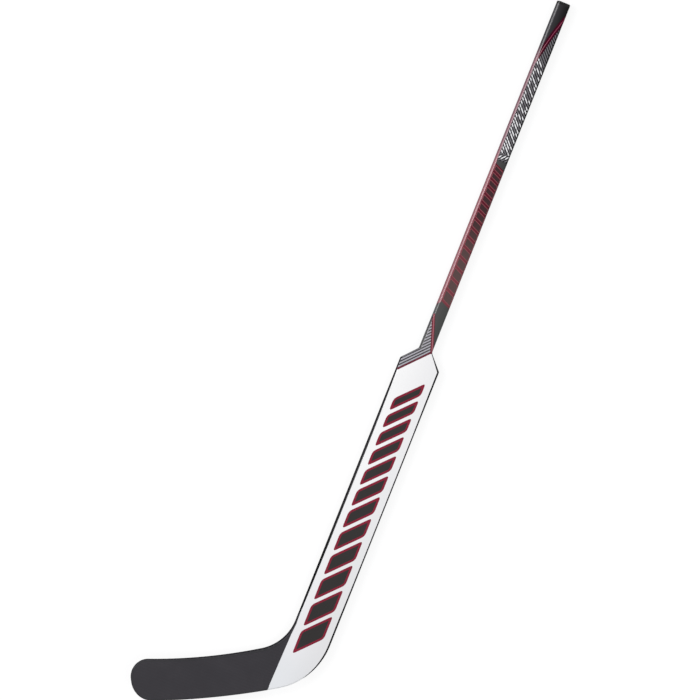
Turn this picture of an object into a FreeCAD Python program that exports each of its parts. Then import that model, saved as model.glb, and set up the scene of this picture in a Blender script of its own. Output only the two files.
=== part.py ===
import FreeCAD, Part
import math
import os

# Ice hockey goalie stick: a hollow shaft bonded to a foam-cored paddle and a curved, foam-cored blade.
# X runs up the stick from the heel corner, Y across it towards the toe, and Z out of the front face.
# The origin is at heel level on the shaft's centre line, in the flat back face. Lengths are in millimetres
# and angles in degrees.

# Whole stick
overall_length = 1500.8       # heel corner to butt end
stick_depth = 22.0            # front to back, alike on shaft, neck and paddle
bond_gap = 0.15               # room for adhesive round each plugged-in piece
overrun = 20.0                # how far cutting shapes pass the material
touch = 0.01                  # largest distance at which a point counts as lying on a line

# Shaft
shaft_width = 27.5
shaft_corner = 5.0            # radius of the long corners
shaft_wall = 2.2
shaft_bulge = 0.6             # how far the middle of each wide face stands out
bulge_run = 45.0              # length over which the flat neck turns into the bulged shaft
bore_corner_share = 0.45      # corner radius of the bore, of the outer one

# Butt plug
cap_length = 6.0
cap_radius = 2.5
tang_length = 45.0
tang_wall = 2.0

# Neck joint
tenon_in_shaft = 72.0
tenon_in_paddle = 70.0
damper_length = 110.0         # foam plug above the tenon

# Paddle
paddle_height = 691.0         # heel corner to shoulders
paddle_width = 85.5
shoulder_rise = 32.0          # shoulders to neck
edge_radius = 3.4             # front and back edges of neck and paddle
shoulder_radius = 5.0
neck_radius = 10.0
edge_strip = 4.2              # width of the black edge strips
strip_tip = 1.2               # width of the heel side's strip where it ends
paddle_skin = 1.5
rib_thickness = 2.2
heel_block_height = 70.0
heel_strip_turn = 36.0        # part of the heel curve that the thinning edge strip follows

# Blade outline
lie_angle = 116.85            # between shaft and blade
blade_length = 387.0
heel_radius = 142.0
rocker_radius = 1345.0        # bottom edge
rocker_low_share = 0.49       # where the bottom edge is lowest, along the blade
top_edge_height = 71.3        # lowest point of the top edge, above the heel corner
top_edge_radius = 950.0      # hollow of the top edge
top_low_share = 0.52          # where the top edge is lowest, along the blade
throat_radius = 95.0          # inside corner between paddle and blade
toe_height = 45.0             # height at which the blade is at its length
toe_lean = 3.0
toe_top_radius = 35.0
toe_bottom_radius = 47.0

# Blade build
bend_start = 112.0            # flat length along the bottom edge
bend_tilt = 10.0              # lean of the bend line, which opens the face
toe_rise = 38.0               # rise of the front face at the toe
toe_thickness = 10.0
blade_bevel = 2.2             # front and back edges
rim_extra = 0.4               # how much wider the rim strip is than the paddle's edge strips
blade_skin = 1.5
stringer_width = 6.0
stringer_height = 32.0
stringer_start = 42.0         # where its tongue begins in the heel block
joint_top = 120.0             # upper end of the line between paddle and blade
joint_lean = 2.3

half_shaft = shaft_width / 2
half_paddle = paddle_width / 2
neck_height = paddle_height + shoulder_rise
bay_half = half_shaft - edge_strip
blade_rim = edge_strip + rim_extra
lie = math.radians(lie_angle)
bent_length = blade_length - bend_start
back_rise = toe_rise + stick_depth - toe_thickness
front_bend = (bent_length ** 2 + toe_rise ** 2) / (2 * toe_rise)
back_bend = (bent_length ** 2 + back_rise ** 2) / (2 * back_rise)
column_height = stick_depth + blade_length


def at(x, y):
    """Point in the plane where upright columns start."""
    return FreeCAD.Vector(x, y, -overrun)


def blade_at(reach, height):
    """Point in that plane, by its reach along the blade and its height above the heel corner."""
    x = reach * math.cos(lie) + height * math.sin(lie)
    y = reach * math.sin(lie) - height * math.cos(lie)
    return at(x, y - half_paddle)


def straight(start, end):
    """Straight edge between two points."""
    return Part.LineSegment(start, end).toShape()


def bow(start, end, centre):
    """Short arc between two points of a circle."""
    middle = (start + end) * 0.5 - centre
    middle.normalize()
    return Part.Arc(start, centre + middle * (start - centre).Length, end).toShape()


def first_meeting(start, direction, centre, radius):
    """First point at which a ray meets a circle."""
    offset = start - centre
    along = offset.dot(direction)
    root = math.sqrt(along ** 2 - offset.dot(offset) + radius ** 2)
    steps = [step for step in (-along - root, -along + root) if step > 0]
    return start + direction * min(steps)


def column(edges):
    """Upright column over a closed outline."""
    return Part.Face(Part.Wire(edges)).extrude(FreeCAD.Vector(0, 0, column_height))


def polygon_column(points):
    """Upright column over straight sides."""
    return column([straight(a, b) for a, b in zip(points, points[1:] + points[:1])])


def slice_column(low, high, side_low, side_high):
    """Upright column over a rectangle along the shaft."""
    return polygon_column([at(low, side_low), at(high, side_low), at(high, side_high), at(low, side_high)])


def single(shape):
    """The one solid of a cut shape, without needless seams."""
    return shape.removeSplitter().Solids[0]


def round_corner(shape, corner, radius):
    """Round the upright edge of a column that stands over one corner."""
    edges = []
    for edge in shape.Edges:
        feet = [at(vertex.X, vertex.Y) for vertex in edge.Vertexes]
        if all((foot - corner).Length < touch for foot in feet):
            edges.append(edge)
    return shape.makeFillet(radius, edges)


def rocker_centre():
    """Centre of the bottom edge's arc, which passes through the heel corner."""
    reach = rocker_low_share * blade_length
    return blade_at(reach, math.sqrt(rocker_radius ** 2 - reach ** 2))


def outline_column():
    """Column over the outline of neck, paddle and blade, with its corners rounded."""
    rocker = rocker_centre()
    hollow = blade_at(top_low_share * blade_length, top_edge_height + top_edge_radius)
    toe = blade_at(blade_length, toe_height)
    lean = math.radians(toe_lean)
    toe_up = blade_at(math.sin(lean), math.cos(lean)) - blade_at(0, 0)
    toe_top = first_meeting(toe, toe_up, hollow, top_edge_radius)
    toe_bottom = first_meeting(toe, -toe_up, rocker, rocker_radius)
    heel = at(0, -half_paddle)
    throat = first_meeting(at(0, half_paddle), FreeCAD.Vector(1, 0, 0), hollow, top_edge_radius)
    end = neck_height + overrun
    shoulders = [at(paddle_height, half_paddle), at(paddle_height, -half_paddle)]
    necks = [at(neck_height, half_shaft), at(neck_height, -half_shaft)]
    path = [throat, shoulders[0], necks[0], at(end, half_shaft)]
    path += [at(end, -half_shaft), necks[1], shoulders[1], heel]
    edges = [straight(a, b) for a, b in zip(path, path[1:])]
    edges.append(bow(heel, toe_bottom, rocker))
    edges.append(straight(toe_bottom, toe_top))
    edges.append(bow(toe_top, throat, hollow))
    shape = column(edges)
    corners = [(heel, heel_radius), (throat, throat_radius)]
    corners += [(toe_top, toe_top_radius), (toe_bottom, toe_bottom_radius)]
    corners += [(corner, shoulder_radius) for corner in shoulders]
    corners += [(corner, neck_radius) for corner in necks]
    for corner, radius in corners:
        shape = round_corner(shape, corner, radius)
    return shape


def sheet_edges(level, bend, reverse):
    """Profile of one sheet surface: flat at a level, then bent up from the bend line to past the toe."""
    end = bent_length + overrun
    lift = bend - math.sqrt(bend ** 2 - end ** 2)
    far = FreeCAD.Vector(-overall_length, -overall_length, level)
    start = FreeCAD.Vector(-overall_length, 0, level)
    tip = FreeCAD.Vector(-overall_length, end, level + lift)
    centre = FreeCAD.Vector(-overall_length, 0, level + bend)
    if reverse:
        return [bow(tip, start, centre), straight(start, far)], tip, far
    return [straight(far, start), bow(start, tip, centre)], far, tip


def layer(low, high):
    """Layer of the stick between two sheet surfaces, each given as (level, bend radius)."""
    lower, lower_far, lower_tip = sheet_edges(low[0], low[1], False)
    upper, upper_tip, upper_far = sheet_edges(high[0], high[1], True)
    edges = lower + [straight(lower_tip, upper_tip)] + upper + [straight(upper_far, lower_far)]
    shape = Part.Face(Part.Wire(edges)).extrude(FreeCAD.Vector(2 * overall_length, 0, 0))
    shape.rotate(FreeCAD.Vector(0, 0, 0), FreeCAD.Vector(0, 0, 1), lie_angle - 90 + bend_tilt)
    line_foot = blade_at(bend_start, 0)
    shape.translate(FreeCAD.Vector(line_foot.x, line_foot.y, 0))
    return shape


def front_sheet(depth):
    """Surface at a depth below the front face."""
    return (stick_depth - depth, front_bend + depth)


def back_sheet(depth):
    """Surface at a depth inside the back face."""
    return (depth, back_bend - depth)


def rim_edges(shape, outline_wire):
    """Front and back edges of a shape that run along the outline, without its cut ends."""
    found = []
    for edge in shape.Edges:
        middle = (edge.FirstParameter + edge.LastParameter) / 2
        point = edge.valueAt(middle)
        foot = Part.Vertex(at(point.x, point.y))
        upright = abs(edge.tangentAt(middle).z) > math.cos(lie / 2)
        on_outline = foot.distToShape(outline_wire)[0] < touch
        if on_outline and not upright and point.x < neck_height + overrun - touch:
            found.append(edge)
    return found


def blade_side():
    """Column over everything on the blade's side of the joint line."""
    top = at(joint_top, half_paddle - edge_strip)
    drop = math.tan(math.radians(joint_lean)) * overall_length
    bottom = at(joint_top - overall_length, top.y + drop)
    return polygon_column([top, bottom, at(bottom.x, overall_length), at(joint_top, overall_length)])


def inner_edge(side):
    """Inner border of an edge strip from neck to shoulder, on the toe side (1) or the heel side (-1)."""
    slope = math.atan2(half_paddle - half_shaft, shoulder_rise)
    lag = edge_strip * math.tan(slope / 2)
    start = at(neck_height + overrun, side * bay_half)
    neck = at(neck_height - lag, side * bay_half)
    shoulder = at(paddle_height - lag, side * (half_paddle - edge_strip))
    return [start, neck, shoulder]


def toe_strip_column():
    """Column over the edge strip on the toe side."""
    points = inner_edge(1) + [at(joint_top, half_paddle - edge_strip)]
    points += [at(joint_top, half_paddle + overrun), at(neck_height + overrun, half_paddle + overrun)]
    return polygon_column(points)


def heel_strip_column():
    """Column over the edge strip on the heel side, which thins along the heel curve."""
    rocker = rocker_centre()
    centre = at(0, heel_radius - half_paddle)
    across = rocker.y - centre.y
    centre.x = rocker.x - math.sqrt((rocker_radius - heel_radius) ** 2 - across ** 2)
    turn = math.radians(heel_strip_turn)
    outward = FreeCAD.Vector(-math.sin(turn), -math.cos(turn), 0)
    tip = centre + outward * (heel_radius - strip_tip)
    start = at(centre.x, edge_strip - half_paddle)
    run = start.x - tip.x
    fall = tip.y - start.y
    taper_centre = at(start.x, start.y + (run ** 2 + fall ** 2) / (2 * fall))
    beyond = tip + outward * (strip_tip + overrun)
    path = inner_edge(-1) + [start]
    edges = [straight(a, b) for a, b in zip(path, path[1:])]
    edges.append(bow(start, tip, taper_centre))
    path = [tip, beyond, at(beyond.x, -half_paddle - overrun)]
    path += [at(neck_height + overrun, -half_paddle - overrun), at(neck_height + overrun, -bay_half)]
    edges += [straight(a, b) for a, b in zip(path, path[1:])]
    return column(edges)


def shaft_section(x, trim, radius, bulge):
    """Cross-section of the shaft at a height, trimmed all round, with bulged or flat wide faces."""
    half_width = half_shaft - trim
    half_depth = stick_depth / 2 - trim
    corner_y = half_width - radius
    corner_z = half_depth - radius
    lean = FreeCAD.Vector(0, 0, 1)
    if bulge > 0:
        face_radius = (half_width ** 2 + bulge ** 2) / (2 * bulge)
        rise = math.sqrt((face_radius - radius) ** 2 - corner_y ** 2)
        corner_z = half_depth - face_radius + rise
        lean = FreeCAD.Vector(0, corner_y, rise) * (1 / (face_radius - radius))
    diagonal = lean + FreeCAD.Vector(0, 1, 0)
    diagonal.normalize()

    def spot(y, z):
        return FreeCAD.Vector(x, y, stick_depth / 2 + z)

    def corner_arc(side, face):
        marks = []
        for way in (FreeCAD.Vector(0, 1, 0), diagonal, lean):
            marks.append(spot(side * (corner_y + radius * way.y), face * (corner_z + radius * way.z)))
        return marks

    def wide_face(start, end, face):
        if bulge > 0:
            return Part.Arc(start, spot(0, face * half_depth), end).toShape()
        return straight(start, end)

    right_top = corner_arc(1, 1)
    left_top = corner_arc(-1, 1)
    left_low = corner_arc(-1, -1)
    right_low = corner_arc(1, -1)
    edges = [straight(right_low[0], right_top[0]), Part.Arc(*right_top).toShape()]
    edges += [wide_face(right_top[2], left_top[2], 1), Part.Arc(*left_top[::-1]).toShape()]
    edges += [straight(left_top[0], left_low[0]), Part.Arc(*left_low).toShape()]
    edges += [wide_face(left_low[2], right_low[2], -1), Part.Arc(*right_low[::-1]).toShape()]
    return Part.Wire(edges)


def plug_in(low, high, trim):
    """Straight block that follows the shaft's bore, trimmed from the outer faces."""
    section = shaft_section(low, trim, bore_corner_share * shaft_corner, 0)
    return Part.Face(section).extrude(FreeCAD.Vector(high - low, 0, 0))


def shaft_pieces():
    """Tube, butt plug and damper of the shaft."""
    tube_end = overall_length - cap_length
    sections = [shaft_section(neck_height, 0, edge_radius, 0)]
    for height in (neck_height + bulge_run, tube_end):
        sections.append(shaft_section(height, 0, shaft_corner, shaft_bulge))
    outside = Part.makeLoft(sections, True, True)
    tube = outside.cut(plug_in(neck_height - overrun, overall_length, shaft_wall))

    cap_section = shaft_section(tube_end, 0, shaft_corner, shaft_bulge)
    cap = Part.Face(cap_section).extrude(FreeCAD.Vector(cap_length, 0, 0))
    end_edges = [edge for edge in cap.Edges if edge.BoundBox.XMin > overall_length - touch]
    cap = cap.makeFillet(min(cap_radius, cap_length / 2), end_edges)
    tang = plug_in(tube_end - tang_length, tube_end, shaft_wall + bond_gap)
    hollow = plug_in(tube_end - tang_length - overrun, tube_end, shaft_wall + bond_gap + tang_wall)
    plug = cap.fuse(tang.cut(hollow))

    damper_foot = neck_height + tenon_in_shaft
    damper = plug_in(damper_foot, damper_foot + damper_length, shaft_wall + bond_gap)
    return {"shaft_tube": tube, "butt_plug": plug, "shaft_damper": damper}


def paddle_pieces(body, outline_wire, stringer):
    """Skins, edge strips and inner pieces of the paddle, with the tenon that joins it to the shaft."""
    below_neck = slice_column(-overall_length, neck_height, -overall_length, overall_length)
    paddle = body.cut(blade_side())
    paddle = paddle.makeFillet(edge_radius, rim_edges(paddle, outline_wire)).common(below_neck)
    toe_strip = toe_strip_column()
    heel_strip = heel_strip_column()
    inner = paddle.cut(toe_strip).cut(heel_strip)
    core = inner.common(layer(back_sheet(paddle_skin), front_sheet(paddle_skin)))
    tenon_foot = neck_height - tenon_in_paddle
    web_side = bay_half + rib_thickness

    def bay(low, high, side_low, side_high):
        return core.common(slice_column(low, high, side_low, side_high))

    tenon = bay(tenon_foot, neck_height, -bay_half, bay_half)
    tenon = tenon.fuse(plug_in(neck_height, neck_height + tenon_in_shaft, shaft_wall + bond_gap))
    block = bay(-overall_length, heel_block_height, -overall_length, overall_length).cut(stringer)
    return {
        "paddle_front_skin": inner.common(layer(front_sheet(paddle_skin), front_sheet(0))),
        "paddle_back_skin": inner.common(layer(back_sheet(0), back_sheet(paddle_skin))),
        "paddle_edge_toe_side": paddle.common(toe_strip),
        "paddle_edge_heel_side": paddle.common(heel_strip),
        "paddle_rib_toe_side": bay(heel_block_height, neck_height, bay_half, web_side),
        "paddle_rib_heel_side": bay(heel_block_height, neck_height, -web_side, -bay_half),
        "paddle_foam_toe_side": bay(heel_block_height, neck_height, web_side, half_paddle),
        "paddle_foam_middle": bay(heel_block_height, tenon_foot, -bay_half, bay_half),
        "paddle_foam_heel_side": bay(heel_block_height, neck_height, -half_paddle, -web_side),
        "heel_block": block,
        "neck_tenon": tenon,
    }


def strip_column(start, low, high):
    """Column over a strip along the blade between two heights, from a start to past the toe."""
    end = blade_length + overrun
    return polygon_column([blade_at(start, low), blade_at(end, low), blade_at(end, high), blade_at(start, high)])


def blade_pieces(body, outline_wire, inset, stringer):
    """Rim, skins, stringer and foam cores of the blade."""
    blade = body.common(blade_side())
    blade = blade.makeChamfer(blade_bevel, rim_edges(blade, outline_wire))
    inner = blade.common(inset)
    core_layer = layer(back_sheet(blade_skin), front_sheet(blade_skin))
    foam = inner.common(core_layer).cut(stringer)
    above = strip_column(-overall_length, stringer_height, overall_length)
    return {
        "blade_front_skin": inner.common(layer(front_sheet(blade_skin), front_sheet(0))),
        "blade_back_skin": inner.common(layer(back_sheet(0), back_sheet(blade_skin))),
        "blade_edge": blade.cut(inset),
        "blade_rib": body.common(core_layer).common(inset).common(stringer),
        "blade_foam_upper": foam.common(above),
        "blade_foam_lower": foam.cut(above),
    }


def main():
    """Build every piece and write it to its own file."""
    outline = outline_column()
    foot = [face for face in outline.Faces if face.BoundBox.ZMax < touch - overrun][0]
    inset = foot.makeOffset2D(-blade_rim, fill=False)
    inset = Part.Face(inset.OuterWire).extrude(FreeCAD.Vector(0, 0, column_height))
    body = outline.common(layer(back_sheet(0), front_sheet(0)))
    low = stringer_height - stringer_width / 2
    stringer = strip_column(stringer_start, low, low + stringer_width)
    pieces = shaft_pieces()
    pieces.update(paddle_pieces(body, foot.OuterWire, stringer))
    pieces.update(blade_pieces(body, foot.OuterWire, inset, stringer))
    os.makedirs("parts", exist_ok=True)
    for name, shape in pieces.items():
        single(shape).exportStep(os.path.join("parts", name + ".step"))


main()
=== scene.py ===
"""Looks of an ice hockey goalie stick: painted laminate, edge strips and printed stripes on a pale floor.

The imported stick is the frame. X runs up the stick from the heel, Y across it towards the toe and Z out of the
front face. Lengths are in metres.
"""

import logging
import math
from collections.abc import Callable
from dataclasses import dataclass, field
from enum import Enum

import bmesh
import bpy
from mathutils import Matrix, Vector
from mathutils.bvhtree import BVHTree
from mathutils.geometry import interpolate_bezier


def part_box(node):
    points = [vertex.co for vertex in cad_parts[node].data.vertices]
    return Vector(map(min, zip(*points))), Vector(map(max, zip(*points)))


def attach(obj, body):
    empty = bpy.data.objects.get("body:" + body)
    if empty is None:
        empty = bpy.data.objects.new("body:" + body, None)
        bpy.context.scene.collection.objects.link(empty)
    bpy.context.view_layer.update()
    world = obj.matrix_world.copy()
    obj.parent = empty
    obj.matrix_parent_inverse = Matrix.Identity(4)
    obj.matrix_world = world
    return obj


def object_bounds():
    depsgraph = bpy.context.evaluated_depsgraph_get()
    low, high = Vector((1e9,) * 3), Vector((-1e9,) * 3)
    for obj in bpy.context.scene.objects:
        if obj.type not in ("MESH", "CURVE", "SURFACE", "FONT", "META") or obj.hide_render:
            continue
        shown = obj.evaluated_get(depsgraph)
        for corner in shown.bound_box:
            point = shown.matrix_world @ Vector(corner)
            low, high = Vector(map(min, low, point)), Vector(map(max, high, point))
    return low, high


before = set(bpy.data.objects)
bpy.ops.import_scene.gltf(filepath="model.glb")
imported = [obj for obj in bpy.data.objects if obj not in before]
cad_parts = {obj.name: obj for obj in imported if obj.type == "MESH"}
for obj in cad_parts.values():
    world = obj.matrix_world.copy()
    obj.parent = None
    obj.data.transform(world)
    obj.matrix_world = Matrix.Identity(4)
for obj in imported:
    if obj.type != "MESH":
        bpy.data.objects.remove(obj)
CAD_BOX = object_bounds()

Spot = tuple[float, float]
Outline = list[Spot]
Cut = tuple[Spot, Spot]              # a point of a line and the direction across it
Laid = tuple[Vector, Vector]         # a spot on the stick and the way it faces
Colour = tuple[float, float, float, float]
Tree = bpy.types.NodeTree
Socket = bpy.types.NodeSocket
Sockets = bpy.types.bpy_prop_collection
Feed = Socket | float | Colour | Vector
Feeds = dict[str | int, Feed]

BODY = "root"
FILM = 0.00006                       # thickness of one printed layer
SINK = 0.00004                       # how far a print's underside lies in the surface below it
MERGE = 0.000001                     # points closer than this are one point
UP: Spot = (1.0, 0.0)                # directions on the flat sheet of a print
TO_TOE: Spot = (0.0, 1.0)
TO_HEEL: Spot = (0.0, -1.0)
WHITE_LIGHT: Colour = (1.0, 1.0, 1.0, 1.0)
LOG = logging.getLogger("goalie_stick")


def linear(byte: int) -> float:
    """Linear share of a display byte, by the sRGB curve."""
    share = byte / 255
    return share / 12.92 if share <= 0.04045 else ((share + 0.055) / 1.055) ** 2.4


def paint(red: int, green: int, blue: int) -> Colour:
    """Linear colour, as shaders use it, of a colour in display bytes."""
    return (linear(red), linear(green), linear(blue), 1.0)


# Colour that the painted shade on narrow faces goes to.
PAINTED_SHADE_BLACK = paint(14, 14, 15)


class Bench:
    """Places shader nodes in one tree and wires them."""

    def __init__(self, tree: Tree) -> None:
        """Work on one node tree."""
        self.tree = tree

    @classmethod
    def cleared(cls, owner: bpy.types.Material | bpy.types.World) -> "Bench":
        """Empty the node tree of a material or world.

        Args:
            owner: The material or world.

        Returns:
            A bench for that tree.
        """
        owner.use_nodes = True
        owner.node_tree.nodes.clear()
        return cls(owner.node_tree)

    def feed(self, socket: Socket, value: Feed) -> None:
        """Wire a socket to another one, or set its own value.

        Args:
            socket: Input socket.
            value: Output socket or plain value.
        """
        if isinstance(value, Socket):
            self.tree.links.new(value, socket)
        else:
            socket.default_value = value

    def put(self, kind: str, inputs: Feeds | None = None, **settings: object) -> bpy.types.Node:
        """Add a node.

        Args:
            kind: Blender's name for the node type.
            inputs: Values or sockets by input name or number.
            settings: Properties of the node.

        Returns:
            The new node.
        """
        node = self.tree.nodes.new(kind)
        for key, value in settings.items():
            setattr(node, key, value)
        for key, value in (inputs or {}).items():
            self.feed(node.inputs[key], value)
        return node

    def use(self, effect: "Effect", inputs: Feeds | None = None) -> bpy.types.Node:
        """Place an effect's node group with its own values."""
        return self.put("ShaderNodeGroup", inputs, node_tree=effect.tree())

    def math(self, operation: str, *feeds: Feed) -> Socket:
        """Result of a math node, fed in order."""
        return self.put("ShaderNodeMath", dict(enumerate(feeds)), operation=operation).outputs[0]

    def blend(self, share: Feed, first: Feed, second: Feed) -> Socket:
        """Colour between the first, at share 0, and the second, at share 1."""
        inputs = {0: share, 6: first, 7: second}       # 6 and 7 take colours, and output 2 gives one
        return self.put("ShaderNodeMix", inputs, data_type="RGBA").outputs[2]

    def ramp(self, value: Feed, low: Feed, high: Feed, out_low: float = 0.0, out_high: float = 1.0) -> Socket:
        """Value eased from between low and high to between out_low and out_high, and held at both ends."""
        inputs = {0: value, 1: low, 2: high, 3: out_low, 4: out_high}
        return self.put("ShaderNodeMapRange", inputs, interpolation_type="SMOOTHSTEP").outputs[0]

    def noise(self, spot: Socket, scale: Feed, detail: float = 2.0, roughness: float = 0.5) -> Socket:
        """Value of a cloudy noise at a spot."""
        inputs = {"Vector": spot, "Scale": scale, "Detail": detail, "Roughness": roughness}
        return self.put("ShaderNodeTexNoise", inputs).outputs[0]

    def place(self) -> Socket:
        """Position in the frame, since every piece sits at the frame's origin."""
        return self.put("ShaderNodeTexCoord").outputs["Object"]

    def axes(self) -> list[Socket]:
        """X, Y and Z of the position."""
        return list(self.put("ShaderNodeSeparateXYZ", {0: self.place()}).outputs)

    def facing(self) -> list[Socket]:
        """X, Y and Z of the way the surface faces."""
        normal = self.put("ShaderNodeNewGeometry").outputs["Normal"]
        return list(self.put("ShaderNodeSeparateXYZ", {0: normal}).outputs)


class Effect(Enum):
    """Surface effects that several finishes share, each a node group that is built once."""

    MOTTLE = "Mottle"
    TWILL = "Twill weave"
    EDGE_WEAR = "Edge wear"
    SCUFFS = "Fine scuffs"
    BARS = "Slanted bars"
    NARROW = "Narrow faces"
    TOE_CORNER = "Toe-side corners"

    def tree(self) -> Tree:
        """The effect's node group."""
        return bpy.data.node_groups.get(self.value) or EFFECT_BUILDERS[self]()

    def begin(self, inputs: dict[str, float], outputs: list[str]) -> tuple[Bench, Sockets, Sockets]:
        """Start the effect's node group.

        Args:
            inputs: Input sockets with the values they have when nothing feeds them.
            outputs: Names of the output sockets.

        Returns:
            The bench for its tree, the sockets that give its inputs and those that take its outputs.
        """
        tree = bpy.data.node_groups.new(self.value, "ShaderNodeTree")
        for label, value in inputs.items():
            socket = tree.interface.new_socket(label, in_out="INPUT", socket_type="NodeSocketFloat")
            socket.default_value = value
        for label in outputs:
            tree.interface.new_socket(label, in_out="OUTPUT", socket_type="NodeSocketFloat")
        bench = Bench(tree)
        return bench, bench.put("NodeGroupInput").outputs, bench.put("NodeGroupOutput").inputs


def build_mottle() -> Tree:
    """Cloudy change over broad patches and a fine grain, drawn out along the stick.

    Returns:
        The node group.
    """
    inputs = {"Scale": 900.0, "Stretch": 1.0, "Patch": 14.0}
    bench, given, result = Effect.MOTTLE.begin(inputs, ["Broad", "Fine"])
    x, y, z = bench.axes()
    along = bench.math("DIVIDE", x, given["Stretch"])
    spot = bench.put("ShaderNodeCombineXYZ", {0: along, 1: y, 2: z}).outputs[0]
    for label, scale in (("Broad", given["Patch"]), ("Fine", given["Scale"])):
        cloud = bench.noise(spot, scale, detail=4.0, roughness=0.6)
        bench.feed(result[label], bench.ramp(cloud, low=0.3, high=0.7))
    return bench.tree


def build_twill() -> Tree:
    """Two-over-two twill of flat tows, seen through the coat.

    Returns:
        The node group.
    """
    repeat, raised = 4.0, 2.0        # tows in one repeat, and how many of them lie on top
    inputs = {"Pitch": 0.002, "Turn": math.radians(45)}
    bench, given, result = Effect.TWILL.begin(inputs, ["Height", "Tow"])
    x, y, z = bench.axes()
    across = bench.math("ADD", y, z)
    cosine = bench.math("COSINE", given["Turn"])
    sine = bench.math("SINE", given["Turn"])
    steps = []
    for first, second, sign in ((cosine, sine, "ADD"), (sine, cosine, "SUBTRACT")):
        turned = bench.math(sign, bench.math("MULTIPLY", x, first), bench.math("MULTIPLY", across, second))
        steps.append(bench.math("DIVIDE", turned, given["Pitch"]))
    floors = [bench.math("FLOOR", step) for step in steps]
    tow = bench.math("LESS_THAN", bench.math("FLOORED_MODULO", bench.math("ADD", *floors), repeat), raised)
    humps = [bench.math("SINE", bench.math("MULTIPLY", bench.math("FRACT", step), math.pi)) for step in steps]
    over = bench.math("MULTIPLY", humps[0], tow)
    under = bench.math("MULTIPLY", humps[1], bench.math("SUBTRACT", 1.0, tow))
    bench.feed(result["Height"], bench.math("ADD", over, under))
    bench.feed(result["Tow"], tow)
    return bench.tree


def build_edge_wear() -> Tree:
    """Rubbed spots where the surface turns from a wide face to a narrow one.

    Returns:
        The node group.
    """
    square = 1.0001                  # just over 1, so that the root below stays real
    rubbed, bare = 0.25, 0.27        # turn of the surface at which wear starts, less its reach, and is full
    bench, given, result = Effect.EDGE_WEAR.begin({"Reach": 0.12, "Scale": 160.0}, ["Mask"])
    level = bench.math("ABSOLUTE", bench.facing()[2])
    sideways = bench.math("SQRT", bench.math("SUBTRACT", square, bench.math("MULTIPLY", level, level)))
    turn = bench.math("SUBTRACT", 1.0, bench.math("MAXIMUM", level, sideways))
    edge = bench.ramp(turn, bench.math("SUBTRACT", rubbed, given["Reach"]), bare)
    patchy = bench.ramp(bench.noise(bench.place(), given["Scale"], detail=5.0), low=0.45, high=0.68)
    bench.feed(result["Mask"], bench.math("MULTIPLY", edge, patchy))
    return bench.tree


def build_scuffs() -> Tree:
    """Hairline scratches in two directions, in patches.

    Returns:
        The node group.
    """
    turns = (0.35, 1.95)             # directions of the scratches
    squeeze = (1.0, 22.0, 9.0)       # how much finer the noise is across a scratch than along it
    middle = 0.5                     # value of the noise on a scratch
    bench, given, result = Effect.SCUFFS.begin({"Scale": 40.0, "Width": 0.012}, ["Mask"])
    spot = bench.place()
    lines = []
    for turn in turns:
        inputs = {"Vector": spot, "Rotation": (0.0, 0.0, turn), "Scale": squeeze}
        drawn = bench.noise(bench.put("ShaderNodeMapping", inputs).outputs[0], given["Scale"], detail=1.0)
        away = bench.math("ABSOLUTE", bench.math("SUBTRACT", drawn, middle))
        lines.append(bench.math("LESS_THAN", away, given["Width"]))
    patchy = bench.ramp(bench.noise(spot, given["Scale"]), low=0.52, high=0.7)
    bench.feed(result["Mask"], bench.math("MULTIPLY", bench.math("MAXIMUM", *lines), patchy))
    return bench.tree


def build_bars() -> Tree:
    """Row of slanted bars on the back face, between two heights and within a half width.

    Returns:
        The node group.
    """
    backward = -0.5                  # faces that look further back than this carry the bars
    inputs = {"Pitch": 0.03, "Bar share": 0.5, "Slant": 1.0, "Low": 0.0, "High": 1.0, "Half width": 0.02}
    bench, given, result = Effect.BARS.begin(inputs, ["Mask"])
    x, y, _ = bench.axes()
    shifted = bench.math("SUBTRACT", x, bench.math("MULTIPLY", y, given["Slant"]))
    step = bench.math("FRACT", bench.math("DIVIDE", shifted, given["Pitch"]))
    mask = bench.math("LESS_THAN", step, given["Bar share"])
    tests = [
        bench.math("GREATER_THAN", shifted, given["Low"]),
        bench.math("LESS_THAN", shifted, given["High"]),
        bench.math("LESS_THAN", bench.math("ABSOLUTE", y), given["Half width"]),
        bench.math("LESS_THAN", bench.facing()[2], backward),
    ]
    for test in tests:
        mask = bench.math("MULTIPLY", mask, test)
    bench.feed(result["Mask"], mask)
    return bench.tree


def build_narrow() -> Tree:
    """Faces that look sideways rather than to the front or back.

    Returns:
        The node group.
    """
    bench, _, result = Effect.NARROW.begin({}, ["Mask"])
    wide = bench.ramp(bench.math("ABSOLUTE", bench.facing()[2]), low=0.12, high=0.6)
    bench.feed(result["Mask"], bench.math("SUBTRACT", 1.0, wide))
    return bench.tree


def build_toe_corner() -> Tree:
    """Rounded corners between the front face and the narrow face on the toe side.

    Returns:
        The node group.
    """
    bench, _, result = Effect.TOE_CORNER.begin({}, ["Mask"])
    _, to_toe, to_front = bench.facing()
    turned = bench.ramp(to_toe, low=0.16, high=0.4)
    raised = bench.ramp(to_front, low=0.35, high=0.65)
    bench.feed(result["Mask"], bench.math("MULTIPLY", turned, raised))
    return bench.tree


EFFECT_BUILDERS: dict[Effect, Callable[[], Tree]] = {
    Effect.MOTTLE: build_mottle,
    Effect.TWILL: build_twill,
    Effect.EDGE_WEAR: build_edge_wear,
    Effect.SCUFFS: build_scuffs,
    Effect.BARS: build_bars,
    Effect.NARROW: build_narrow,
    Effect.TOE_CORNER: build_toe_corner,
}


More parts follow.
